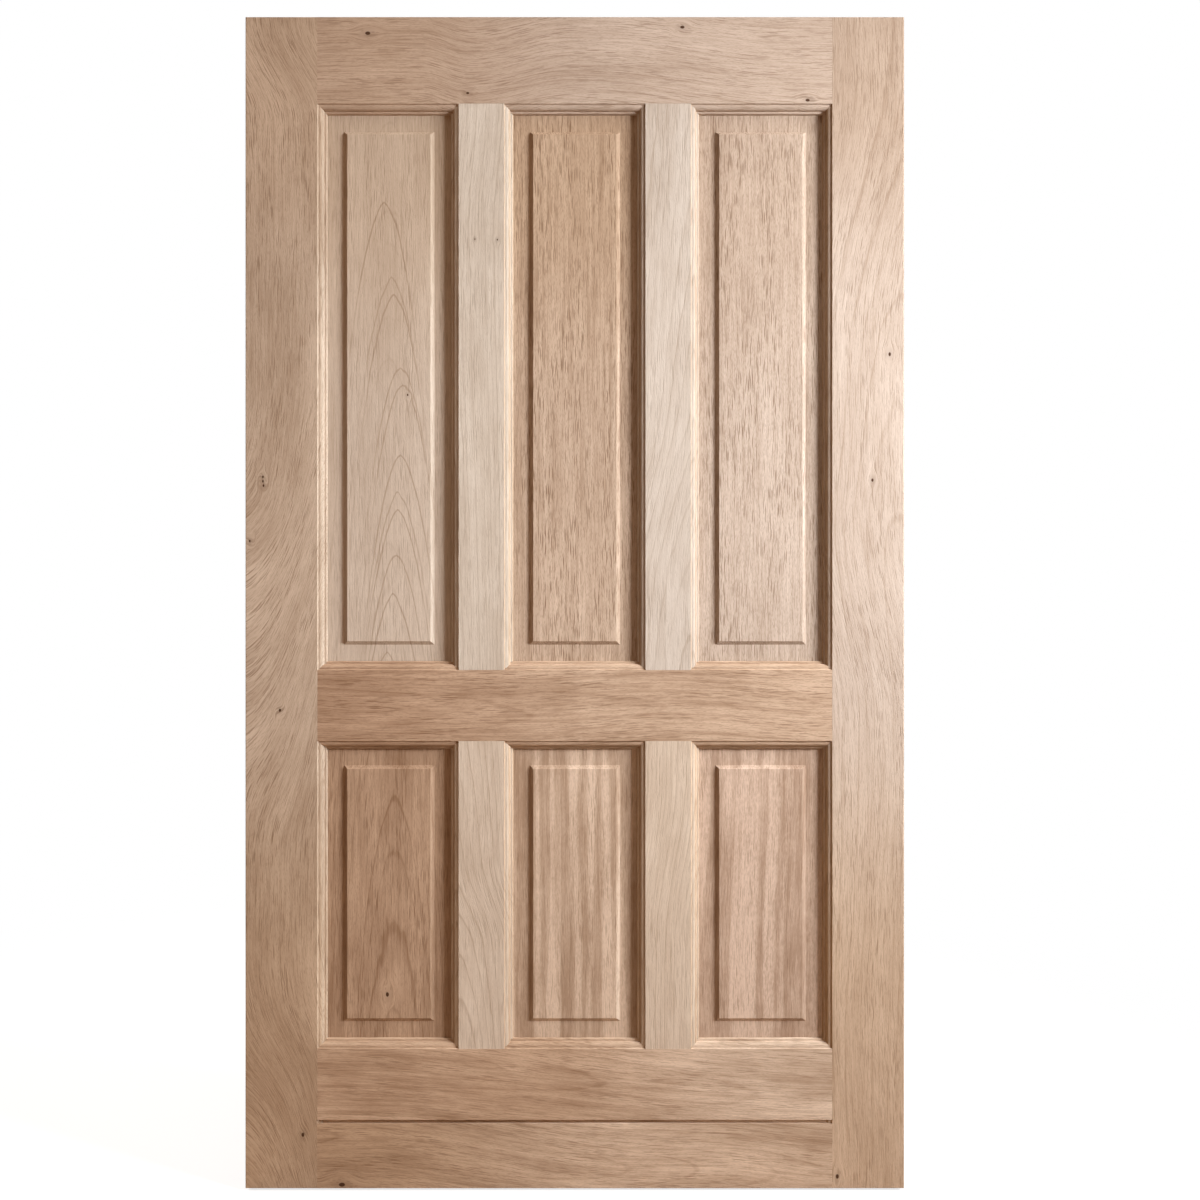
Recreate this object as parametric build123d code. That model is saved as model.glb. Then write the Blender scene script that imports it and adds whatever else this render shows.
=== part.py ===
from build123d import *
import os
from math import atan, degrees, sqrt

# A six-panel timber pivot door: a moulded frame with raised panels, hung on a
# floor pivot and a head pivot that are let into its rails.
# Millimetres. X runs along the door, Y through it (front at -Y), Z up.
# The origin is on the pivot axis, on the floor.

# Leaf
leaf_width = 1200.0
leaf_height = 2134.0
leaf_thickness = 44.0
arris = 1.2  # eased outer edges
pivot_inset = 300.0  # left edge of the leaf to the pivot axis

# Face widths of the frame members
stile_face = 131.0
mullion_face = 83.0
top_rail_face = 158.0
middle_rail_face = 129.0
lower_opening = 561.0
upper_board_face = 129.0  # the bottom rail is two boards, one above the other
lower_board_face = 118.0

# Joint between the two boards of the bottom rail
reveal_height = 7.0
reveal_depth = 5.0
tongue_height = 10.0
tongue_thickness = 14.0
tongue_clearance = 0.2

# Stuck moulding round every opening, from the face edge to the panel
step_width = 1.5
step_depth = 2.5
quirk_width = 2.5
ovolo_radius = 7.0
fillet_width = 3.3
slope_width = 1.7
slope_depth = 4.5
groove_depth = 12.0  # panel groove, back from the lip of the moulding

# Raised and fielded panels
panel_engagement = 10.0
panel_clearance = 0.2
margin_width = 30.0
bevel_width = 6.5
field_depth = 9.3  # field below the face of the frame
column_names = ("left", "middle", "right")

# Loose tenons between the frame members
tenon_cheek = 1.0  # wood left each side of a tenon, within the width of the groove
rail_tenon_length = 110.0
mullion_tenon_length = 80.0
tenon_width_share = 0.5  # of the face of the rail or mullion
tenon_clearance = 0.1
tenon_end_gap = 0.8

# Screws of the pivot set
screw_head_radius = 5.0
screw_head_height = 3.0
screw_shank_radius = 2.4
screw_length = 34.0

# Fits of the pivot set
fixed_clearance = 0.05
running_clearance = 0.05
recess_clearance = 0.2
overrun = 5.0

# Floor pivot
floor_plate_length = 104.0
floor_plate_width = 22.0
floor_plate_thickness = 3.0
floor_hole_spacing = 78.0
floor_hole_radius = 2.75
floor_gap = 2.0
spindle_radius = 7.0
spindle_height = 32.0  # above the floor plate

# Shoe in the bottom of the leaf
shoe_length = 124.0
shoe_width = 26.0
shoe_thickness = 3.0
shoe_screw_spacing = 96.0
boss_radius = 12.5
boss_roof = 4.0
bush_wall = 2.0
thrust_disc_thickness = 4.0

# Head pivot
pin_plate_length = 104.0
pin_plate_width = 26.0
pin_plate_thickness = 3.0
pin_plate_screw_spacing = 76.0
pin_radius = 6.0
pin_depth = 34.0  # of the pin below its plate
pin_reach = 0.5  # tip of the pin above the head plate
head_gap = 2.0
head_plate_length = 104.0
head_plate_width = 18.0
head_plate_thickness = 4.0
head_hole_spacing = 78.0
head_hole_radius = 2.75
head_bush_wall = 2.0
head_bush_rise = 1.0  # top of the bush above the head plate

# Sizes worked out from the values above
half_thickness = leaf_thickness / 2
moulding_width = step_width + quirk_width + ovolo_radius + fillet_width + slope_width
moulding_depth = step_depth + ovolo_radius + slope_depth
groove_half = half_thickness - moulding_depth
groove_back = moulding_width - groove_depth
margin_half = groove_half - panel_clearance
field_rise = half_thickness - field_depth - margin_half
tenon_thickness = 2 * (groove_half - tenon_cheek)

leaf_bottom = floor_plate_thickness + floor_gap
leaf_top = leaf_bottom + leaf_height
leaf_left = -pivot_inset
leaf_right = leaf_left + leaf_width
frame_left = leaf_left + stile_face
frame_right = leaf_right - stile_face
frame_width = frame_right - frame_left
mullion_count = len(column_names) - 1
opening_width = (frame_width - mullion_count * mullion_face) / len(column_names)

lower_board_top = leaf_bottom + lower_board_face
upper_board_bottom = lower_board_top + reveal_height
lower_row_bottom = upper_board_bottom + upper_board_face
lower_row_top = lower_row_bottom + lower_opening
upper_row_bottom = lower_row_top + middle_rail_face
upper_row_top = leaf_top - top_rail_face

spindle_top = floor_plate_thickness + spindle_height
bush_bore_radius = spindle_radius + running_clearance
bush_radius = bush_bore_radius + bush_wall
socket_top = spindle_top + thrust_disc_thickness
boss_top = socket_top + boss_roof

pin_plate_bottom = leaf_top - pin_plate_thickness
pin_bottom = pin_plate_bottom - pin_depth
head_plate_bottom = leaf_top + head_gap
head_plate_top = head_plate_bottom + head_plate_thickness
head_bush_bore_radius = pin_radius + running_clearance
head_bush_radius = head_bush_bore_radius + head_bush_wall


def turned(outline):
    """Solid turned about Z from (radius, height) points."""
    return revolve(Plane.XZ * make_face(Polyline(*outline, close=True)), Axis.Z)


def drum(radius, low, high):
    """Upright cylinder on the pivot axis."""
    return turned([(0, low), (radius, low), (radius, high), (0, high)])


def bore(radius, low, high):
    """Cutter for a hole on the pivot axis, right through from low to high."""
    return drum(radius, low - overrun, high + overrun)


def tube(bore, radius, low, high):
    """Upright sleeve on the pivot axis."""
    return turned([(bore, low), (radius, low), (radius, high), (bore, high)])


def strap(length, width, low, thickness):
    """Flat plate lying across the pivot axis along X."""
    return Pos(0, 0, low) * Box(length, width, thickness, align=(Align.CENTER, Align.CENTER, Align.MIN))


def pair(piece, spacing):
    """Two copies of a piece, either side of the pivot axis along X."""
    return [Pos(side * spacing / 2, 0, 0) * piece for side in (-1, 1)]


# Timber frame

def moulding_lip():
    """Section of the stuck moulding, with the face edge at x = 0."""
    step_level = half_thickness - step_depth
    fillet_level = step_level - ovolo_radius
    quirk_end = step_width + quirk_width
    ovolo_end = quirk_end + ovolo_radius
    front = [
        Polyline((0, half_thickness), (step_width, step_level), (quirk_end, step_level)),
        CenterArc((quirk_end, fillet_level), ovolo_radius, 0, 90),
        Polyline(
            (ovolo_end, fillet_level),
            (ovolo_end + fillet_width, fillet_level),
            (moulding_width, groove_half),
            (moulding_width, 0),
            (0, 0),
            (0, half_thickness),
        ),
    ]
    upper = make_face(front)
    return upper + mirror(upper, about=Plane.XZ)


def member_section(face, sides):
    """Section of a frame member, moulded and grooved on the given sides (1, -1)."""
    section = Rectangle(face, leaf_thickness)
    lip = moulding_lip()
    groove_reach = groove_depth + overrun
    groove = Pos(groove_back + groove_reach / 2, 0) * Rectangle(groove_reach, 2 * groove_half)
    for side in sides:
        edge = Pos(side * face / 2, 0) * Rot(0, 0, 90 - 90 * side)
        section = section + edge * lip - edge * groove
    return section


def eased(piece):
    """The piece with the arrises along the top and bottom of the leaf taken off."""
    cutter = Box(leaf_width + overrun, sqrt(2) * arris, sqrt(2) * arris)
    middle = (leaf_left + leaf_right) / 2
    for height in (leaf_bottom, leaf_top):
        for side in (-1, 1):
            piece = piece - Pos(middle, side * half_thickness, height) * Rot(45, 0, 0) * cutter
    return piece


def stile(center, inward):
    """Full-height upright at one side of the leaf, moulded on its inner edge."""
    section = member_section(stile_face, [1])
    corners = section.vertices().group_by(Axis.X)[0]
    section = Rot(0, 0, 90 - 90 * inward) * chamfer(corners, arris)
    return eased(Pos(center, 0, leaf_bottom) * extrude(section, leaf_height))


def along_rail(section, middle):
    """A section run from stile to stile, centred on a height."""
    plane = Plane(origin=(frame_left, 0, middle), x_dir=(0, 0, 1), z_dir=(1, 0, 0))
    return extrude(plane * section, frame_width)


def rail(low, high, sides, stiles):
    """Rail between the stiles, its ends coped over their moulding."""
    bar = along_rail(member_section(high - low, sides), (low + high) / 2)
    return bar - stiles


def board_edge(width, depth):
    """Rectangle that hangs below the origin, for the joint between the two boards."""
    return Rectangle(depth, width, align=(Align.MAX, Align.CENTER))


def upper_board(stiles):
    """Upper board of the bottom rail, with a tongue below the shadow line."""
    board = rail(upper_board_bottom, lower_row_bottom, [1], stiles)
    neck = along_rail(board_edge(leaf_thickness - 2 * reveal_depth, reveal_height), upper_board_bottom)
    tongue = along_rail(board_edge(tongue_thickness, tongue_height), lower_board_top)
    return board + (neck + tongue - stiles)


def lower_board(stiles):
    """Lower board of the bottom rail, grooved along its top for the tongue."""
    board = rail(leaf_bottom, lower_board_top, [], stiles)
    slot_width = tongue_thickness + 2 * tongue_clearance
    slot = along_rail(board_edge(slot_width, tongue_height + tongue_clearance), lower_board_top)
    return eased(board - slot)


def mullion_center(index):
    """X of the middle of a mullion, counted from the left."""
    return frame_left + (index + 1) * (opening_width + mullion_face) - mullion_face / 2


def mullion(index, low, high, rails):
    """Upright between two panels, its ends coped over the rails' moulding."""
    section = member_section(mullion_face, [1, -1])
    return Pos(mullion_center(index), 0, low) * extrude(section, high - low) - rails


def panel(column, low, high):
    """Raised panel, its tongue loose in the grooves round the opening."""
    tongue_inset = moulding_width - panel_engagement
    field_inset = moulding_width + margin_width
    center_x = frame_left + column * (opening_width + mullion_face) + opening_width / 2
    center_z = (low + high) / 2
    height = high - low
    slab = Box(opening_width - 2 * tongue_inset, 2 * margin_half, height - 2 * tongue_inset)
    solid = Pos(center_x, 0, center_z) * slab
    base = Rectangle(opening_width - 2 * field_inset, height - 2 * field_inset)
    slant = degrees(atan(bevel_width / field_rise))
    for side in (-1, 1):
        plane = Plane((center_x, side * margin_half, center_z), x_dir=(1, 0, 0), z_dir=(0, side, 0))
        solid = solid + extrude(plane * base, field_rise, taper=slant)
    return solid


# Loose tenons

def tenon(place, width, length, clearance=0, end_gap=0):
    """Flat tenon running along X, or with clearances the mortise for it."""
    return Pos(*place) * Box(
        length + 2 * end_gap,
        tenon_thickness + 2 * clearance,
        width + 2 * clearance,
    )


def rail_tenons(low, high, clearance=0, end_gap=0):
    """Tenons, or mortises, at both ends of a rail."""
    width = tenon_width_share * (high - low)
    ends = (frame_left + groove_back, frame_right - groove_back)
    middle = (low + high) / 2
    return [tenon((x, 0, middle), width, rail_tenon_length, clearance, end_gap) for x in ends]


def mullion_tenons(clearance=0, end_gap=0):
    """Tenons, or mortises, at both ends of every mullion."""
    width = tenon_width_share * mullion_face
    upright = Rot(0, 90, 0) * tenon((0, 0, 0), width, mullion_tenon_length, clearance, end_gap)
    rows = ((lower_row_bottom, lower_row_top), (upper_row_bottom, upper_row_top))
    heights = [z for low, high in rows for z in (low + groove_back, high - groove_back)]
    return [Pos(mullion_center(i), 0, z) * upright for i in range(mullion_count) for z in heights]


def tenon_groups(clearance=0, end_gap=0):
    """Every group of tenons, or of mortises, by name."""
    bottom = rail_tenons(leaf_bottom, lower_board_top, clearance, end_gap)
    bottom += rail_tenons(upper_board_bottom, lower_row_bottom, clearance, end_gap)
    return {
        "top_rail_tenons": rail_tenons(upper_row_top, leaf_top, clearance, end_gap),
        "middle_rail_tenons": rail_tenons(lower_row_top, upper_row_bottom, clearance, end_gap),
        "bottom_rail_tenons": bottom,
        "mullion_tenons": mullion_tenons(clearance, end_gap),
    }


# Pivot set

def screw():
    """Countersunk wood screw, head up at z = 0."""
    return turned([
        (0, 0),
        (screw_head_radius, 0),
        (screw_shank_radius, -screw_head_height),
        (screw_shank_radius, -screw_length),
        (0, -screw_length),
    ])


def screw_hole():
    """Cutter for a countersunk screw, through its plate and into the wood."""
    hole_radius = screw_shank_radius + fixed_clearance
    reach = screw_length + overrun
    return turned([
        (0, 0),
        (screw_head_radius + fixed_clearance, 0),
        (hole_radius, -screw_head_height),
        (hole_radius, -reach),
        (0, -reach),
    ])


def shoe_places(piece):
    """A head-up piece placed at both screws of the bottom shoe, heads down."""
    upside_down = Rot(180, 0, 0) * piece
    return [Pos(0, 0, leaf_bottom) * one for one in pair(upside_down, shoe_screw_spacing)]


def pin_plate_places(piece):
    """A head-up piece placed at both screws of the pin plate."""
    return [Pos(0, 0, leaf_top) * one for one in pair(piece, pin_plate_screw_spacing)]


def floor_plate():
    """Plate screwed to the floor, carrying the spindle."""
    plate = strap(floor_plate_length, floor_plate_width, 0, floor_plate_thickness)
    hole = bore(floor_hole_radius, 0, floor_plate_thickness)
    spindle_hole = bore(spindle_radius + fixed_clearance, 0, floor_plate_thickness)
    return plate - pair(hole, floor_hole_spacing) - spindle_hole


def bottom_shoe():
    """Plate and blind boss let into the bottom of the leaf."""
    plate = strap(shoe_length, shoe_width, leaf_bottom, shoe_thickness)
    boss = drum(boss_radius, leaf_bottom, boss_top)
    socket = drum(bush_radius + fixed_clearance, leaf_bottom - overrun, socket_top)
    return plate + boss - socket - shoe_places(screw_hole())


def shoe_pocket():
    """Cutter for the bottom shoe and its screws."""
    grow = 2 * recess_clearance
    depth = shoe_thickness + overrun
    recess = strap(shoe_length + grow, shoe_width + grow, leaf_bottom - overrun, depth)
    hole = drum(boss_radius + recess_clearance, leaf_bottom, boss_top + recess_clearance)
    return [recess, hole, *shoe_places(screw_hole())]


def top_pin_plate():
    """Plate let into the top of the leaf, with the pin pressed through it."""
    plate = strap(pin_plate_length, pin_plate_width, pin_plate_bottom, pin_plate_thickness)
    hole = bore(pin_radius + fixed_clearance, pin_plate_bottom, leaf_top)
    return plate - hole - pin_plate_places(screw_hole())


def pin_pocket():
    """Cutter for the pin plate, the pin and the screws."""
    grow = 2 * recess_clearance
    depth = pin_plate_thickness + overrun
    recess = strap(pin_plate_length + grow, pin_plate_width + grow, pin_plate_bottom, depth)
    hole = drum(pin_radius + fixed_clearance, pin_bottom, leaf_top)
    return [recess, hole, *pin_plate_places(screw_hole())]


def head_plate():
    """Plate screwed under the lintel, carrying the bush for the pin."""
    plate = strap(head_plate_length, head_plate_width, head_plate_bottom, head_plate_thickness)
    hole = bore(head_hole_radius, head_plate_bottom, head_plate_top)
    bush_hole = bore(head_bush_radius + fixed_clearance, head_plate_bottom, head_plate_top)
    return plate - pair(hole, head_hole_spacing) - bush_hole


def timber():
    """Every wooden piece by name."""
    left = stile(leaf_left + stile_face / 2, 1)
    right = stile(leaf_right - stile_face / 2, -1)
    stiles = [left, right]
    top = eased(rail(upper_row_top, leaf_top, [-1], stiles))
    middle = rail(lower_row_top, upper_row_bottom, [1, -1], stiles)
    upper = upper_board(stiles)
    lower = lower_board(stiles)
    pieces = {
        "left_stile": left,
        "right_stile": right,
        "top_rail": top - pin_pocket(),
        "middle_rail": middle,
        "bottom_rail_upper_board": upper,
        "bottom_rail_lower_board": lower - shoe_pocket(),
    }
    rows = (
        ("upper", upper_row_bottom, upper_row_top, [middle, top]),
        ("lower", lower_row_bottom, lower_row_top, [upper, middle]),
    )
    for row, low, high, rails in rows:
        for index, side in enumerate(("left", "right")):
            pieces[f"{row}_{side}_mullion"] = mullion(index, low, high, rails)
        for column, place in enumerate(column_names):
            pieces[f"{row}_{place}_panel"] = panel(column, low, high)
    return pieces


def tenoned(pieces):
    """The frame mortised for its loose tenons, with the tenons added."""
    mortises = sum(tenon_groups(tenon_clearance, tenon_end_gap).values(), [])
    for name in pieces:
        if "panel" not in name:
            pieces[name] = pieces[name] - mortises
    for name, tenons in tenon_groups().items():
        pieces[name] = Part() + tenons
    return pieces


def pivot_set():
    """Every metal piece by name."""
    return {
        "floor_plate": floor_plate(),
        "floor_spindle": drum(spindle_radius, 0, spindle_top),
        "bottom_shoe": bottom_shoe(),
        "shoe_bush": tube(bush_bore_radius, bush_radius, leaf_bottom, socket_top),
        "thrust_disc": drum(spindle_radius, spindle_top, socket_top),
        "top_pin_plate": top_pin_plate(),
        "top_pin": drum(pin_radius, pin_bottom, head_plate_top + pin_reach),
        "plate_screws": Part() + shoe_places(screw()) + pin_plate_places(screw()),
        "head_plate": head_plate(),
        "head_bush": tube(
            head_bush_bore_radius,
            head_bush_radius,
            head_plate_bottom,
            head_plate_top + head_bush_rise,
        ),
    }


os.makedirs("parts", exist_ok=True)
for name, piece in (tenoned(timber()) | pivot_set()).items():
    export_step(piece, f"parts/{name}.step")
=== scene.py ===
from math import radians

import bpy
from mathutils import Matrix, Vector

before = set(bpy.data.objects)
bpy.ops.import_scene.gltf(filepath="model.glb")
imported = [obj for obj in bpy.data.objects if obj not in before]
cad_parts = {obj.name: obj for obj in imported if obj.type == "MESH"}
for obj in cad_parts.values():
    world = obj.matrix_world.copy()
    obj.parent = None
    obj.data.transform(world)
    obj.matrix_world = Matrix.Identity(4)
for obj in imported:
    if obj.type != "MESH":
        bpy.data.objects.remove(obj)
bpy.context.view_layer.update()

# Tints, as factors of red, green and blue. The margin, side and edge tints are painted shade.
# Painted shade on a panel's recessed margin, between its moulding and its field
PANEL_MARGIN_SHADE = (0.95, 0.94, 0.93)
# Painted shade on faces turned sideways, which holds back the raking key lamp; on the mullions
# partly also the mouldings' own peach colour
MULLION_SIDE_SHADE = (0.66, 0.57, 0.49)
PLAIN_SIDE_SHADE = (0.76, 0.76, 0.76)
# Painted shade on faces turned square to the side, such as the leaf's edges, which face the key
# lamp when the leaf turns
LEAF_EDGE_SHADE = (0.74, 0.72, 0.70)
END_GRAIN = (0.55, 0.47, 0.40)
PORE = (0.50, 0.43, 0.37)

# How far the palest and the deepest fibres lie from the middle tone, at a contrast of 1
PALE_SPREAD = (0.34, 0.43, 0.52)
DEEP_SPREAD = (0.37, 0.44, 0.50)
KNOT_TONE = (70, 42, 26)

# Noise in the wood: waves a metre across and along the grain, then detail
DRIFT = (4.0, 1.6, 1.0)
ROUGH = (60.0, 12.0, 2.0)
BROAD = (12.0, 2.6, 2.0)
STREAK = (160.0, 3.5, 3.0)
FIBRE = (620.0, 16.0, 2.0)
CLOUD = (32.0, 13.0, 2.0)
RIBBON = (36.0, 1.1, 1.0)
RIPPLE = (330.0, 110.0, 2.0)
PORE_PATCHES = (45.0, 5.0, 2.0)
RING_WIDTHS = (0.5, 1.0, 1.0)

# Pores: cells a metre across and along the grain, then size within a cell. A pore is
# full within a share of its size. Long pores lie in patches, by a fade over noise.
LONG_PORES = (460.0, 26.0, 0.44)
FINE_PORES = (900.0, 90.0, 0.40)
PORE_CORE = 0.45
PORE_DENSITY = (-0.2, 0.15, 0.25, 1.0)
FINE_PORE_STRENGTH = 0.55
PORE_STRENGTH = 0.9

# Growth rings: how uneven their widths and edges are, the fades over one ring to its
# late wood, out of it and through its early wood, and the range and least of strength
RING_UNEVEN = 1.8
RING_RAGGED = 0.35
LATE_START = (0.82, 0.93)
LATE_END = (1.0, 0.95)
EARLY_WOOD = (0.30, 1.0, 0.0, 0.25)
RING_STRENGTH = (0.7, 0.3)

# Marks in the shade, which runs from 0 for the palest fibre to 1 for the deepest
MIDDLE_SHADE = 0.42
NOISE_WEIGHT = 1.6
FIBRE_WEIGHT = 0.9
LINE_WEIGHT = 0.75
PLAIN_CLOUD = 0.7
RIBBON_FADE = (-0.10, 0.10, -0.5, 0.5)

# Fades about a knot over the squared distance in radii: start, end, low and high
KNOT_PULL = (60.0, 0.0, 0.0, 0.75)
KNOT_CORE = (1.3, 0.5, 0.0, 0.95)
KNOT_HALO = (16.0, 0.5, 0.0, 0.12)
KNOT_STRETCH = 1.5

# Bowed fibres and arches: strength of a bow, width and steepness of an arch, its
# raggedness, and the fades over a line's width and over its way down
BOW = 0.75
ARCH_WIDTH = 0.017
ARCH_POINT = 0.8
ARCH_RAGGED = 0.020
ARCH_LINE = (0.0020, 0.0003)
ARCH_LENGTH = (0.30, 0.04)
ARCH_REST = 0.25

# Depth from the middle of the leaf at which the painted shade of a panel's recessed margin ends
# and is full
MARGIN_SHADE_DEPTH = (0.0125, 0.0085)

# Fades over how far a face turns to the side or is an edge of the leaf, for the painted shade on
# such faces, and over how far it shows end grain
SIDE_SHADE_FADE = (0.15, 0.75)
EDGE_SHADE_FADE = (0.96, 0.995)
END_FACING = (0.90, 0.98, 0.0, 0.55)

# Surface of the wood: roughness and its change with the fibres, shine, weights in the
# relief, and the bump made from that
WOOD_ROUGHNESS = 0.72
FIBRE_ROUGHNESS = 0.25
WOOD_SHINE = 0.08
PORE_RELIEF = -0.7
FIBRE_RELIEF = 0.5
KNOT_RELIEF = -0.8
WOOD_BUMP = {"Strength": 0.35, "Distance": 0.0006}
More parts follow.
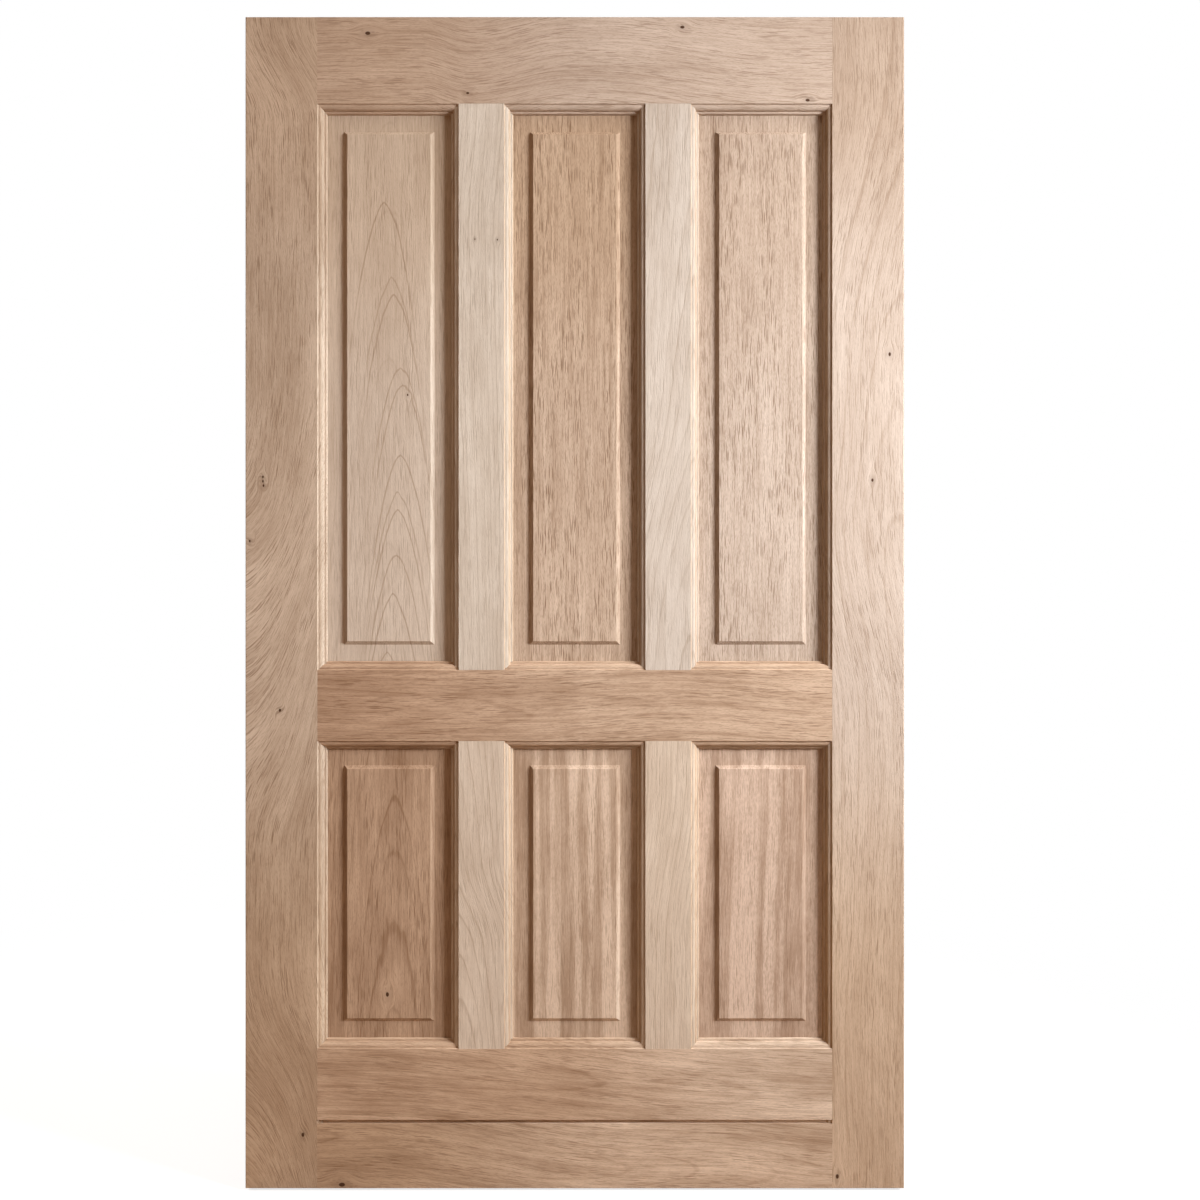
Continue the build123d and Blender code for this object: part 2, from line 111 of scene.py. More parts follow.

# Wood of each visible piece, in metres and in the frame of the part. Across and along
# mean across and along the fibres.
# grain: axis that the fibres run along
# tone, contrast: middle colour (0 to 255), and spread of pale and deep fibres about it
# seed, wander: shift of the noise, and sideways drift of the fibres
# bends: sideways shift of the fibres, as start, end and shift
# arcs: fibres that bow out from an edge, as edge, half width, start, full from, full to, end
# rings: pith across the grain, its depth, its tilt and the spacing of the rings
# arches: single growth lines, as place across, height of the tip and strength
# knots: place across, place along and radius
# ring_lines, broad, streak, pores, cloud, stripes, ripple: strength of each kind of mark
# darker: tint that fades along the grain, as where it is full, where it ends and the tint
# margin, side: tint of a panel's margin, and of faces turned sideways; both are painted shade, the
# mullions' side tint partly also the mouldings' own peach colour
WOOD = {
    "left_stile": dict(
        grain="Z", tone=(193, 170, 148), contrast=0.72, seed=1.3, wander=0.03, cloud=0.5,
        darker=[(0.35, 0.95, (0.92, 0.86, 0.79)), (2.00, 1.60, (0.97, 0.93, 0.89))],
        # side: painted shade on faces turned sideways
        side=(0.76, 0.78, 0.80),
        bends=[(0.60, 1.50, 0.30), (1.95, 2.14, -0.07), (-0.15, 0.45, -0.17)],
        arcs=[(-0.300, 0.065, 0.62, 0.85, 1.20, 1.42), (-0.300, 0.065, -1.0, -0.5, 0.15, 0.35)],
        rings=(-0.50, 0.02, 0.01, 0.009), ring_lines=0.35, broad=0.9, streak=0.25, pores=0.85,
        knots=[
            (-0.268, 1.301, 0.0018), (-0.268, 1.293, 0.0018), (-0.267, 1.285, 0.0018),
            (-0.292, 1.184, 0.0018), (-0.237, 0.876, 0.0022), (-0.195, 0.103, 0.0028),
        ],
    ),
    "right_stile": dict(
        grain="Z", tone=(199, 180, 164), contrast=0.62, seed=7.9, wander=0.04, cloud=0.45,
        darker=[(0.35, 1.00, (1.00, 0.91, 0.79)), (2.00, 1.60, (0.86, 0.80, 0.74))],
        # side: warm painted shade on faces turned sideways
        side=(0.80, 0.73, 0.62),
        bends=[(1.55, 2.00, 0.06), (0.85, 1.25, -0.06)],
        rings=(0.95, 0.10, 0.05, 0.010), ring_lines=0.5, broad=0.5, streak=0.3, pores=0.7,
        knots=[(0.8735, 1.5245, 0.0025), (0.842, 1.295, 0.0022), (0.778, 0.027, 0.003)],
    ),
    "top_rail": dict(
        grain="X", tone=(192, 170, 152), contrast=0.65, seed=3.1, wander=0.016, cloud=0.45,
        darker=[(-0.08, 0.35, (0.97, 0.90, 0.82))],
        bends=[(0.02, 0.11, -0.02), (0.11, 0.30, 0.03), (0.35, 0.70, -0.03)],
        rings=(1.96, 0.06, 0.04, 0.008), ring_lines=0.6, broad=0.5, streak=0.4, pores=0.75,
        knots=[
            (2.109, -0.077, 0.0034), (2.000, 0.105, 0.002),
            (2.120, 0.496, 0.0028), (1.987, 0.724, 0.0028),
        ],
    ),
    "middle_rail": dict(
        grain="X", tone=(189, 160, 135), contrast=0.85, seed=5.7, wander=0.02,
        darker=[(-0.08, 0.40, (0.88, 0.82, 0.77))],
        bends=[(0.20, 0.48, 0.012), (0.48, 0.75, -0.012)],
        rings=(0.87, 0.08, 0.05, 0.010), ring_lines=0.3, broad=0.7, streak=0.65, pores=0.9,
        knots=[],
    ),
    "bottom_rail_upper_board": dict(
        grain="X", tone=(205, 180, 157), contrast=0.85, seed=9.2, wander=0.02,
        darker=[(0.20, 0.65, (0.85, 0.77, 0.70))],
        bends=[(-0.15, 0.80, -0.07)],
        rings=(0.24, 0.07, 0.05, 0.010), ring_lines=0.35, broad=0.8, streak=0.6, pores=0.75,
        knots=[],
    ),
    "bottom_rail_lower_board": dict(
        grain="X", tone=(201, 175, 151), contrast=0.9, seed=11.4, wander=0.025,
        darker=[(-0.08, 0.45, (0.70, 0.62, 0.54))],
        bends=[(-0.15, 0.45, -0.06), (0.55, 0.80, -0.02)],
        rings=(0.10, 0.06, 0.06, 0.010), ring_lines=0.4, broad=0.8, streak=0.6, pores=0.75,
        knots=[(0.012, -0.124, 0.004)],
    ),
    "upper_left_mullion": dict(
        grain="Z", tone=(209, 195, 179), contrast=0.5, seed=13.6, wander=0.012,
        side=MULLION_SIDE_SHADE, bends=[(1.75, 2.00, 0.02)],
        rings=(0.02, 0.05, 0.03, 0.006), ring_lines=1.2, broad=0.5, streak=0.45, pores=0.5,
        knots=[(0.159, 1.733, 0.0013), (0.118, 1.734, 0.0010)],
    ),
    "upper_right_mullion": dict(
        grain="Z", tone=(203, 189, 175), contrast=0.45, seed=15.8, wander=0.012,
        side=MULLION_SIDE_SHADE, bends=[(1.10, 1.45, 0.04)],
        rings=(0.53, 0.12, 0.06, 0.008), ring_lines=1.1, broad=0.5, streak=0.4, pores=0.45,
        knots=[],
    ),
    "lower_left_mullion": dict(
        grain="Z", tone=(209, 191, 172), contrast=0.5, seed=17.3, wander=0.02,
        side=MULLION_SIDE_SHADE, bends=[(0.45, 0.60, -0.03)],
        rings=(0.09, 0.06, 0.08, 0.008), ring_lines=1.1, broad=0.6, streak=0.45, pores=0.45,
        knots=[],
    ),
    "lower_right_mullion": dict(
        grain="Z", tone=(211, 192, 172), contrast=0.5, seed=19.5, wander=0.012,
        side=MULLION_SIDE_SHADE, bends=[(0.45, 0.75, 0.03)],
        rings=(0.60, 0.05, 0.05, 0.008), ring_lines=1.0, broad=0.5, streak=0.45, pores=0.45,
        knots=[],
    ),
    "upper_left_panel": dict(
        grain="Z", tone=(203, 185, 167), contrast=0.6, seed=21.1, wander=0.006, cloud=0.3,
        margin=PANEL_MARGIN_SHADE, darker=[(1.85, 1.35, (0.94, 0.89, 0.83))], bends=[],
        rings=(-0.041, 0.2687, 0.0258, 0.00206), ring_lines=0.25,
        broad=0.5, streak=0.45, pores=0.5,
        arches=[
            (-0.049, 1.806, 1.0), (-0.035, 1.665, 0.6), (-0.031, 1.637, 0.9), (-0.018, 1.504, 0.7),
            (-0.014, 1.470, 0.8), (-0.018, 1.343, 1.0), (-0.023, 1.272, 0.7), (-0.024, 1.241, 0.9),
            (-0.027, 1.161, 0.8), (-0.033, 1.086, 1.0), (-0.045, 0.982, 0.8),
        ],
        knots=[(-0.006, 1.452, 0.0015)],
    ),
    "upper_middle_panel": dict(
        grain="Z", tone=(191, 166, 144), contrast=0.85, seed=23.7, wander=0.006, cloud=0.3,
        margin=PANEL_MARGIN_SHADE, darker=[(1.85, 1.35, (0.91, 0.86, 0.79))], bends=[],
        rings=(0.10, 0.05, 0.01, 0.010), ring_lines=0.15, broad=0.5, streak=0.75, pores=1.15,
        knots=[],
    ),
    "upper_right_panel": dict(
        grain="Z", tone=(196, 176, 159), contrast=0.75, seed=25.9, wander=0.006, cloud=0.3,
        margin=PANEL_MARGIN_SHADE, darker=[(1.85, 1.35, (0.94, 0.90, 0.86))], bends=[],
        rings=(0.85, 0.05, 0.01, 0.010), ring_lines=0.15, broad=0.5, streak=0.65, pores=1.1,
        ripple=0.5, knots=[],
    ),
    "lower_left_panel": dict(
        grain="Z", tone=(176, 145, 119), contrast=0.9, seed=27.2, wander=0.012,
        margin=PANEL_MARGIN_SHADE, bends=[],
        rings=(-0.03, 0.10, 0.05, 0.007), ring_lines=0.6, broad=0.7, streak=0.6, pores=0.8,
        knots=[(-0.043, 0.355, 0.003)],
    ),
    "lower_middle_panel": dict(
        grain="Z", tone=(198, 172, 149), contrast=0.8, seed=29.4, wander=0.008,
        margin=PANEL_MARGIN_SHADE, bends=[],
        rings=(0.10, 0.05, 0.01, 0.010), ring_lines=0.1, broad=0.4, streak=0.5, pores=0.6,
        stripes=0.85, ripple=0.7, knots=[],
    ),
    "lower_right_panel": dict(
        grain="Z", tone=(197, 170, 149), contrast=0.8, seed=31.8, wander=0.010,
        margin=PANEL_MARGIN_SHADE, bends=[(0.30, 0.75, 0.012)],
        rings=(0.90, 0.05, 0.01, 0.010), ring_lines=0.1, broad=0.4, streak=0.5, pores=0.6,
        stripes=0.80, ripple=0.8, knots=[],
    ),
}
TENON_WOOD = dict(
    grain="X", tone=(198, 166, 136), contrast=0.8, seed=41.0, wander=0.01, bends=[],
    rings=(0.0, 0.05, 0.02, 0.004), ring_lines=0.3, broad=0.5, streak=0.5, pores=0.5, knots=[],
)
UPRIGHT_TENON_WOOD = dict(TENON_WOOD, grain="Z", seed=43.0)
RAIL_TENONS = ("top_rail_tenons", "middle_rail_tenons", "bottom_rail_tenons")

# Metals: tone (0 to 255), roughness and brush marks a metre along X, Y and Z
SATIN_STEEL = ((196, 196, 198), 0.34, (40.0, 2500.0, 2500.0))
MACHINED_BRONZE = ((206, 170, 120), 0.30, (900.0, 900.0, 4000.0))
BRUSH_NOISE = {"Scale": 1.0, "Detail": 3.0}
HANDLING_NOISE = {"Scale": 60.0, "Detail": 3.0}
DULL_METAL = (0.86, 0.86, 0.86)
BRIGHT_METAL = (1.08, 1.08, 1.08)
BRUSH_SPREAD = 0.22
HANDLING_SPREAD = 0.08
METAL_BUMP = {"Strength": 0.15, "Distance": 0.0002}
STEEL_PIECES = (
    "floor_plate", "floor_spindle", "bottom_shoe", "top_pin_plate", "top_pin", "plate_screws",
    "head_plate",
)
BRONZE_PIECES = ("shoe_bush", "thrust_disc", "head_bush")

# Broken edges: width on wood and on metal, number of steps, and the least angle in
# degrees. Edges gentler than the smooth angle are shaded as one face. Corners nearer
# to each other than the weld reach are joined first.
WOOD_EDGE = 0.0004
METAL_EDGE = 0.0002
EDGE_STEPS = 2
BREAK_ANGLE = 25
SMOOTH_ANGLE = 22
WELD_REACH = 1e-6
FACE_WEIGHT = 100

# Floor: half its width, the two tones that light bounces from and their noise, how it
# takes a shadow, its own glow, and the distances at which it starts and ends to turn white
FLOOR_HALF = 6.0
FLOOR_NOISE = {"Scale": 9.0, "Detail": 4.0}
FLOOR_ROUGHNESS = 0.9
FLOOR_SHINE = 0.1
FLOOR_TONES = ((0.50, 0.36, 0.25, 1), (0.56, 0.42, 0.31, 1))
FLOOR_SHADOW = (0.34, 0.34, 0.34, 1)
FLOOR_GLOW = 0.76
FLOOR_FADE = (0.6, 2.2)
WHITE = (1, 1, 1, 1)
WORLD_FILL = (0.050, 0.026, 0.011, 1)

# Lamps: place, target, width, height, power in watts, colour and spread in degrees
LAMPS = {
    "key": ((3.5, -1.35, 2.25), (0.4, 0.0, 1.2), 1.1, 0.8, 62.5, (0.97, 1.0, 1.03), 80),
    "fill": ((-1.6, -1.9, 2.0), (0.3, 0.0, 1.3), 1.4, 1.2, 7.0, (1.0, 0.45, 0.17), 180),
    "overhead": ((0.6, -1.3, 4.2), (0.3, 0.0, 0.6), 1.5, 1.0, 9.0, (1.0, 0.88, 0.74), 120),
    "back": ((-2.2, 2.6, 2.3), (0.3, 0.0, 1.1), 1.2, 1.2, 58.0, (1.0, 0.97, 0.94), 100),
}

# Camera: place, then lens and width of the sensor in millimetres
CAMERA_PLACE = (0.346, -2.022, 1.0768)
LENS = 32.946
SENSOR = 36.0


def linear(tone):
    """Linear colour from values between 0 and 255."""
    parts = [value / 255 for value in tone]
    return [p / 12.92 if p <= 0.04045 else ((p + 0.055) / 1.055) ** 2.4 for p in parts]


def tinted(color, factors):
    """A linear colour times three factors, as a shader colour."""
    return (*[part * factor for part, factor in zip(color, factors)], 1.0)


class Nodes:
    """Short calls for the nodes of one tree."""

    def __init__(self, tree):
        self.tree = tree

    def feed(self, socket, value):
        """Link a socket, or set its value."""
        if isinstance(value, bpy.types.NodeSocket):
            self.tree.links.new(value, socket)
        else:
            socket.default_value = value

    def add(self, kind, inputs=(), **settings):
        """New node with its settings, and its inputs by name or number."""
        node = self.tree.nodes.new("ShaderNode" + kind)
        for key, value in settings.items():
            setattr(node, key, value)
        for key, value in dict(inputs).items():
            self.feed(node.inputs[key], value)
        return node

    def math(self, operation, *values):
        """Result of one sum on sockets or numbers."""
        return self.add("Math", enumerate(values), operation=operation).outputs[0]

    def total(self, *values):
        """Sum of several sockets or numbers."""
        result = values[0]
        for value in values[1:]:
            result = self.math("ADD", result, value)
        return result

    def vector(self, x, y, z):
        """Vector from three sockets or numbers."""
        return self.add("CombineXYZ", enumerate((x, y, z))).outputs[0]

    def stretched(self, vector, factors):
        """Vector times a factor for each axis."""
        return self.add("VectorMath", {0: vector, 1: factors}, operation="MULTIPLY").outputs[0]

    def noise(self, vector, across, along, detail):
        """Soft noise about zero, with so many waves a metre across and along the grain."""
        place = self.stretched(vector, (across, across, along))
        fac = self.add("TexNoise", {"Vector": place, "Scale": 1.0, "Detail": detail}).outputs[0]
        return self.math("SUBTRACT", fac, 0.5)

    def dashes(self, vector, across, along, size):
        """Short dashes along the grain: 1 in a dash, 0 beside it."""
        place = self.stretched(vector, (across, across, along))
        reach = self.add("TexVoronoi", {"Vector": place, "Scale": 1.0}).outputs["Distance"]
        return self.fade(reach, size, PORE_CORE * size)

    def fade(self, value, start, end, low=0.0, high=1.0):
        """Smooth change from low to high while the value goes from start to end."""
        keys = ("Value", "From Min", "From Max", "To Min", "To Max")
        inputs = dict(zip(keys, (value, start, end, low, high)))
        return self.add("MapRange", inputs, interpolation_type="SMOOTHSTEP").outputs[0]

    def blend(self, factor, first, second, way="MIX"):
        """Mix of two colours."""
        node = self.add("Mix", data_type="RGBA", blend_type=way)
        for key, value in ((0, factor), (6, first), (7, second)):
            self.feed(node.inputs[key], value)
        return node.outputs[2]

    def tint(self, factor, color, factors):
        """A colour times three factors, as far as the factor says."""
        return self.blend(factor, color, (*factors, 1.0), "MULTIPLY")


def new_material(name):
    """New material, with its nodes and its main shader."""
    material = bpy.data.materials.new(name)
    material.use_nodes = True
    n = Nodes(material.node_tree)
    return material, n, n.tree.nodes["Principled BSDF"]


def fibre_flow(n, look, across, y, along):
    """Place across the grain that follows the fibres, and how much a place is knot."""
    flow = across
    for edge, half, start, full_from, full_to, end in look.get("arcs", ()):
        side = n.math("SUBTRACT", across, edge)
        bow = n.math("SUBTRACT", n.math("DIVIDE", n.math("MULTIPLY", side, side), 2 * half), side)
        rising = n.fade(along, start, full_from)
        falling = n.fade(along, end, full_to, 0.0, BOW)
        flow = n.math("MULTIPLY_ADD", n.math("MULTIPLY", rising, falling), bow, flow)
    for start, end, shift in look["bends"]:
        flow = n.math("SUBTRACT", flow, n.fade(along, start, end, 0.0, shift))
    seed = look["seed"]
    straight = n.vector(n.math("ADD", across, seed), y, n.math("ADD", along, seed))
    flow = n.math("MULTIPLY_ADD", n.noise(straight, *DRIFT), look["wander"], flow)
    knot = 0.0
    for place, height, radius in look["knots"]:
        offset = n.math("SUBTRACT", across, place)
        side = n.math("DIVIDE", offset, radius)
        rise = n.math("DIVIDE", n.math("SUBTRACT", along, height), KNOT_STRETCH * radius)
        reach = n.math("MULTIPLY_ADD", side, side, n.math("MULTIPLY", rise, rise))
        flow = n.math("SUBTRACT", flow, n.math("MULTIPLY", n.fade(reach, *KNOT_PULL), offset))
        own = n.math("MAXIMUM", n.fade(reach, *KNOT_CORE), n.fade(reach, *KNOT_HALO))
        knot = n.math("MAXIMUM", knot, own)
    return flow, knot


def growth_rings(n, look, flow, y, along, rough):
    """Growth rings about the pith, each with its own strength."""
    center, depth, tilt, pitch = look["rings"]
    side = n.math("SUBTRACT", flow, center)
    deep = n.math("ADD", y, n.math("MULTIPLY_ADD", along, tilt, depth))
    radius = n.math("SQRT", n.math("MULTIPLY_ADD", side, side, n.math("MULTIPLY", deep, deep)))
    turn = n.math("DIVIDE", radius, pitch)
    uneven = n.noise(n.vector(turn, look["seed"], 0.0), *RING_WIDTHS)
    ragged = n.math("MULTIPLY", rough, RING_RAGGED)
    turn = n.total(turn, n.math("MULTIPLY", uneven, RING_UNEVEN), ragged)
    phase = n.math("FRACT", turn)
    whole = n.math("FLOOR", turn)
    own = n.add("TexWhiteNoise", {"W": whole}, noise_dimensions="1D").outputs["Value"]
    late = n.math("MULTIPLY", n.fade(phase, *LATE_START), n.fade(phase, *LATE_END))
    early = n.fade(phase, *EARLY_WOOD)
    strength = n.math("MULTIPLY_ADD", own, *RING_STRENGTH)
    return n.math("MULTIPLY", n.math("MAXIMUM", late, early), strength)


def arch_lines(n, look, flow, along, rough):
    """Single growth lines in the shape of ragged arches that fade on their way down."""
    lines = 0.0
    for place, height, strength in look.get("arches", ()):
        side = n.math("ABSOLUTE", n.math("SUBTRACT", flow, place))
        slope = n.math("DIVIDE", side, ARCH_WIDTH)
        drop = n.math("SUBTRACT", height, along)
        fall = n.math("MULTIPLY", side, n.math("ADD", slope, ARCH_POINT))
        level = n.math("SUBTRACT", n.math("MULTIPLY_ADD", rough, ARCH_RAGGED, fall), drop)
        lean = n.math("MULTIPLY_ADD", slope, 2.0, ARCH_POINT)
        steep = n.math("SQRT", n.math("MULTIPLY_ADD", lean, lean, 1.0))
        gap = n.math("ABSOLUTE", n.math("DIVIDE", level, steep))
        lasting = n.fade(drop, *ARCH_LENGTH, ARCH_REST * strength, strength)
        line = n.math("MULTIPLY", n.fade(gap, *ARCH_LINE), lasting)
        lines = n.math("MAXIMUM", lines, line)
    return lines


def wood_shade(n, look, grain, fibre, rings, lines):
    """Shade from pale to deep, from broad patches down to single fibres."""
    marks = (
        (n.noise(grain, *BROAD), NOISE_WEIGHT * look["broad"]),
        (n.noise(grain, *STREAK), NOISE_WEIGHT * look["streak"]),
        (fibre, FIBRE_WEIGHT),
        (n.noise(grain, *CLOUD), look.get("cloud", PLAIN_CLOUD)),
        (rings, LINE_WEIGHT * look["ring_lines"]),
        (lines, LINE_WEIGHT),
    )
    shade = n.total(MIDDLE_SHADE, *[n.math("MULTIPLY", *mark) for mark in marks])
    if "stripes" in look:
        ribbon = n.fade(n.noise(grain, *RIBBON), *RIBBON_FADE)
        shade = n.math("MULTIPLY_ADD", ribbon, LINE_WEIGHT * look["stripes"], shade)
    if "ripple" in look:
        ripple = n.noise(grain, *RIPPLE)
        if "stripes" in look:
            ripple = n.math("MULTIPLY", ripple, n.math("SUBTRACT", 1.0, ribbon))
        shade = n.math("MULTIPLY_ADD", ripple, look["ripple"], shade)
    return n.math("MINIMUM", n.math("MAXIMUM", shade, 0.0), 1.0)


def pore_marks(n, grain):
    """Pores: long ones in patches, and fine ones everywhere."""
    dense = n.fade(n.noise(grain, *PORE_PATCHES), *PORE_DENSITY)
    long_pores = n.math("MULTIPLY", n.dashes(grain, *LONG_PORES), dense)
    fine_pores = n.math("MULTIPLY", n.dashes(grain, *FINE_PORES), FINE_PORE_STRENGTH)
    return n.math("MAXIMUM", long_pores, fine_pores)


def wood_color(n, look, y, along, normal, shade, pores, knot):
    """Colour of the wood, with its pores, knots and tints, and painted shade on panel margins,
    sideways faces and edges.
    """
    tone = linear(look["tone"])
    spread = look["contrast"]
    pale = tinted(tone, [1 + spread * part for part in PALE_SPREAD])
    deep = tinted(tone, [1 - spread * part for part in DEEP_SPREAD])
    color = n.blend(shade, pale, deep)
    filled = n.math("MULTIPLY", pores, PORE_STRENGTH * look["pores"])
    color = n.blend(filled, color, tinted(tone, PORE))
    for full, none, factors in look.get("darker", ()):
        color = n.tint(n.fade(along, none, full), color, factors)
    # Painted shade on a panel's recessed margin
    if "margin" in look:
        low = n.fade(n.math("ABSOLUTE", y), *MARGIN_SHADE_DEPTH)
        color = n.tint(low, color, look["margin"])
    color = n.blend(knot, color, (*linear(KNOT_TONE), 1.0))
    facing = [n.math("ABSOLUTE", part) for part in n.add("SeparateXYZ", {0: normal}).outputs]
    # Painted shade on faces turned sideways, on the mullions partly also the mouldings' own colour
    color = n.tint(n.fade(facing[0], *SIDE_SHADE_FADE), color, look.get("side", PLAIN_SIDE_SHADE))
    # Painted shade on faces turned square to the side, such as the leaf's edges
    color = n.tint(n.fade(facing[0], *EDGE_SHADE_FADE), color, LEAF_EDGE_SHADE)
    end = n.fade(facing["XYZ".index(look["grain"])], *END_FACING)
    return n.blend(end, color, tinted(tone, END_GRAIN))


def wood(name, look):
    """Bare planed hardwood: rings, streaks, pores and knots that follow the fibres."""
    material, n, shader = new_material(name)
    coordinates = n.add("TexCoord").outputs
    x, y, z = n.add("SeparateXYZ", {0: coordinates["Object"]}).outputs
    across, along = (z, x) if look["grain"] == "X" else (x, z)
    flow, knot = fibre_flow(n, look, across, y, along)
    seed = look["seed"]
    grain = n.vector(n.math("ADD", flow, seed), y, n.math("ADD", along, seed))
    rough = n.noise(grain, *ROUGH)
    fibre = n.noise(grain, *FIBRE)
    rings = growth_rings(n, look, flow, y, along, rough)
    lines = arch_lines(n, look, flow, along, rough)
    shade = wood_shade(n, look, grain, fibre, rings, lines)
    pores = pore_marks(n, grain)
    color = wood_color(n, look, y, along, coordinates["Normal"], shade, pores, knot)
    n.feed(shader.inputs["Base Color"], color)
    roughness = n.math("MULTIPLY_ADD", fibre, FIBRE_ROUGHNESS, WOOD_ROUGHNESS)
    n.feed(shader.inputs["Roughness"], roughness)
    n.feed(shader.inputs["Specular IOR Level"], WOOD_SHINE)
    relief = n.total(
        n.math("MULTIPLY", pores, PORE_RELIEF),
        n.math("MULTIPLY", fibre, FIBRE_RELIEF),
        n.math("MULTIPLY", knot, KNOT_RELIEF),
    )
    bump = n.add("Bump", {"Height": relief, **WOOD_BUMP})
    n.feed(shader.inputs["Normal"], bump.outputs[0])
    return material


def metal(name, tone, roughness, brush):
    """Machined metal with fine brush marks and faint handling marks."""
    material, n, shader = new_material(name)
    place = n.add("TexCoord").outputs["Object"]
    brushed = n.add("TexNoise", {"Vector": n.stretched(place, brush), **BRUSH_NOISE}).outputs[0]
    cloud = n.add("TexNoise", {"Vector": place, **HANDLING_NOISE}).outputs[0]
    color = linear(tone)
    worn = n.blend(cloud, tinted(color, DULL_METAL), tinted(color, BRIGHT_METAL))
    n.feed(shader.inputs["Base Color"], worn)
    n.feed(shader.inputs["Metallic"], 1.0)
    spread = n.math("MULTIPLY_ADD", brushed, BRUSH_SPREAD, roughness - BRUSH_SPREAD / 2)
    n.feed(shader.inputs["Roughness"], n.math("MULTIPLY_ADD", cloud, HANDLING_SPREAD, spread))
    bump = n.add("Bump", {"Height": brushed, **METAL_BUMP})
    n.feed(shader.inputs["Normal"], bump.outputs[0])
    return material


def smooth_group():
    """Node group that smooths a mesh except over edges sharper than the smooth angle."""
    group = bpy.data.node_groups.new("smooth_by_angle", "GeometryNodeTree")
    for way in ("INPUT", "OUTPUT"):
        group.interface.new_socket("Geometry", in_out=way, socket_type="NodeSocketGeometry")
    source = group.nodes.new("NodeGroupInput")
    result = group.nodes.new("NodeGroupOutput")
    plain = group.nodes.new("GeometryNodeRemoveAttribute")
    plain.inputs["Name"].default_value = "custom_normal"
    angle = group.nodes.new("GeometryNodeInputMeshEdgeAngle")
    gentle = group.nodes.new("FunctionNodeCompare")
    gentle.operation = "LESS_EQUAL"
    gentle.inputs["B"].default_value = radians(SMOOTH_ANGLE)
    faces = group.nodes.new("GeometryNodeSetShadeSmooth")
    edges = group.nodes.new("GeometryNodeSetShadeSmooth")
    edges.domain = "EDGE"
    link = group.links.new
    link(source.outputs[0], plain.inputs[0])
    link(plain.outputs[0], faces.inputs[0])
    link(faces.outputs[0], edges.inputs[0])
    link(angle.outputs["Unsigned Angle"], gentle.inputs["A"])
    link(gentle.outputs[0], edges.inputs["Shade Smooth"])
    link(edges.outputs[0], result.inputs[0])
    return group


def dress(piece, material, group, edge):
    """Give a piece its material and softly broken edges."""
    piece.data.materials.clear()
    piece.data.materials.append(material)
    weld = piece.modifiers.new("weld", "WELD")
    weld.merge_threshold = WELD_REACH
    bevel = piece.modifiers.new("edges", "BEVEL")
    bevel.width = edge
    bevel.segments = EDGE_STEPS
    bevel.limit_method = "ANGLE"
    bevel.angle_limit = radians(BREAK_ANGLE)
    smooth = piece.modifiers.new("smooth", "NODES")
    smooth.node_group = group
    even = piece.modifiers.new("even", "WEIGHTED_NORMAL")
    even.weight = FACE_WEIGHT
    even.keep_sharp = True


def dress_all():
    """Materials and edges of every node."""
    group = smooth_group()
    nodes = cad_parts
    for name, look in WOOD.items():
        dress(nodes[name], wood(name + "_wood", look), group, WOOD_EDGE)
    tenon = wood("tenon_wood", TENON_WOOD)
    for name in RAIL_TENONS:
        dress(nodes[name], tenon, group, WOOD_EDGE)
    upright = wood("upright_tenon_wood", UPRIGHT_TENON_WOOD)
    dress(nodes["mullion_tenons"], upright, group, WOOD_EDGE)
    steel = metal("satin_steel", *SATIN_STEEL)
    for name in STEEL_PIECES:
        dress(nodes[name], steel, group, METAL_EDGE)
    bronze = metal("machined_bronze", *MACHINED_BRONZE)
    for name in BRONZE_PIECES:
        dress(nodes[name], bronze, group, METAL_EDGE)


def seen_directly(n):
    """1 for what the camera sees, also in reflections and through glass, otherwise 0."""
    path = n.add("LightPath").outputs
    either = n.math("MAXIMUM", path["Is Camera Ray"], path["Is Glossy Ray"])
    return n.math("MAXIMUM", either, path["Is Transmission Ray"])


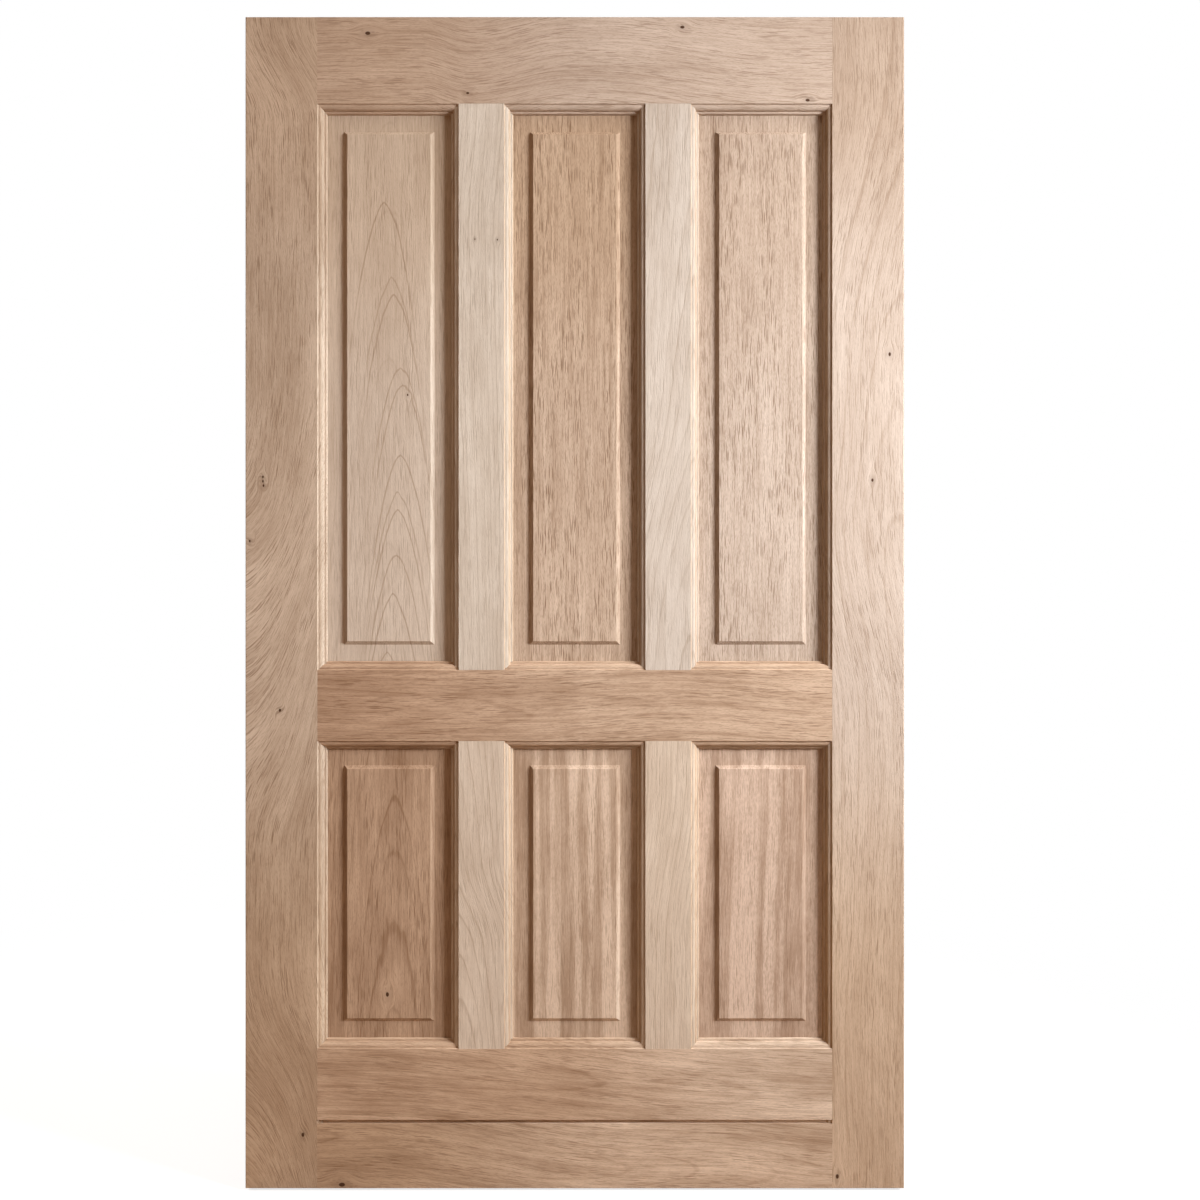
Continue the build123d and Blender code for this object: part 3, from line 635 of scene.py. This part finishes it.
def floor():
    """Pale floor that fades to white away from the door and keeps its shadow."""
    half = FLOOR_HALF
    mesh = bpy.data.meshes.new("floor")
    corners = [(-half, -half, 0), (half, -half, 0), (half, half, 0), (-half, half, 0)]
    mesh.from_pydata(corners, [], [(0, 1, 2, 3)])
    plane = bpy.data.objects.new("floor", mesh)
    bpy.context.scene.collection.objects.link(plane)
    material, n, shader = new_material("pale_floor")
    spot = n.add("TexCoord").outputs["Object"]
    grain = n.add("TexNoise", {"Vector": spot, **FLOOR_NOISE}).outputs[0]
    n.feed(shader.inputs["Base Color"], n.blend(grain, *FLOOR_TONES))
    n.feed(shader.inputs["Roughness"], FLOOR_ROUGHNESS)
    n.feed(shader.inputs["Specular IOR Level"], FLOOR_SHINE)
    shadow = n.add("BsdfDiffuse", {"Color": FLOOR_SHADOW})
    glow = n.add("Emission", {"Color": WHITE, "Strength": FLOOR_GLOW})
    near = n.add("AddShader", {0: shadow.outputs[0], 1: glow.outputs[0]})
    far = n.add("Emission", {"Color": WHITE, "Strength": 1.0})
    distance = n.add("VectorMath", {0: spot}, operation="LENGTH").outputs["Value"]
    away = n.fade(distance, *FLOOR_FADE)
    fading = n.add("MixShader", {0: away, 1: near.outputs[0], 2: far.outputs[0]})
    shown = n.add("MixShader", {0: seen_directly(n), 1: shader.outputs[0], 2: fading.outputs[0]})
    n.feed(n.tree.nodes["Material Output"].inputs["Surface"], shown.outputs[0])
    mesh.materials.append(material)


def studio_world():
    """Soft even fill light, on a white background."""
    world = bpy.data.worlds.new("studio")
    bpy.context.scene.world = world
    world.use_nodes = True
    n = Nodes(world.node_tree)
    background = n.tree.nodes["Background"]
    n.feed(background.inputs["Color"], n.blend(seen_directly(n), WORLD_FILL, WHITE))
    n.feed(background.inputs["Strength"], 1.0)


def softbox(name, place, target, width, height, power, color, spread):
    """Rectangular soft lamp that points at a target."""
    data = bpy.data.lights.new(name, "AREA")
    data.shape = "RECTANGLE"
    data.size = width
    data.size_y = height
    data.energy = power
    data.color = color
    data.spread = radians(spread)
    lamp = bpy.data.objects.new(name, data)
    lamp.location = place
    aim = Vector(target) - Vector(place)
    lamp.rotation_euler = aim.to_track_quat("-Z", "Y").to_euler()
    bpy.context.scene.collection.objects.link(lamp)


def camera():
    """Camera straight before the door, at the photograph's distance."""
    data = bpy.data.cameras.new("camera")
    data.lens = LENS
    data.sensor_width = SENSOR
    view = bpy.data.objects.new("camera", data)
    view.location = CAMERA_PLACE
    view.rotation_euler = (radians(90), 0, 0)
    bpy.context.scene.collection.objects.link(view)
    bpy.context.scene.camera = view


dress_all()
floor()
studio_world()
for lamp_name, lamp_values in LAMPS.items():
    softbox(lamp_name, *lamp_values)
camera()
bpy.context.scene.view_settings.view_transform = "Standard"
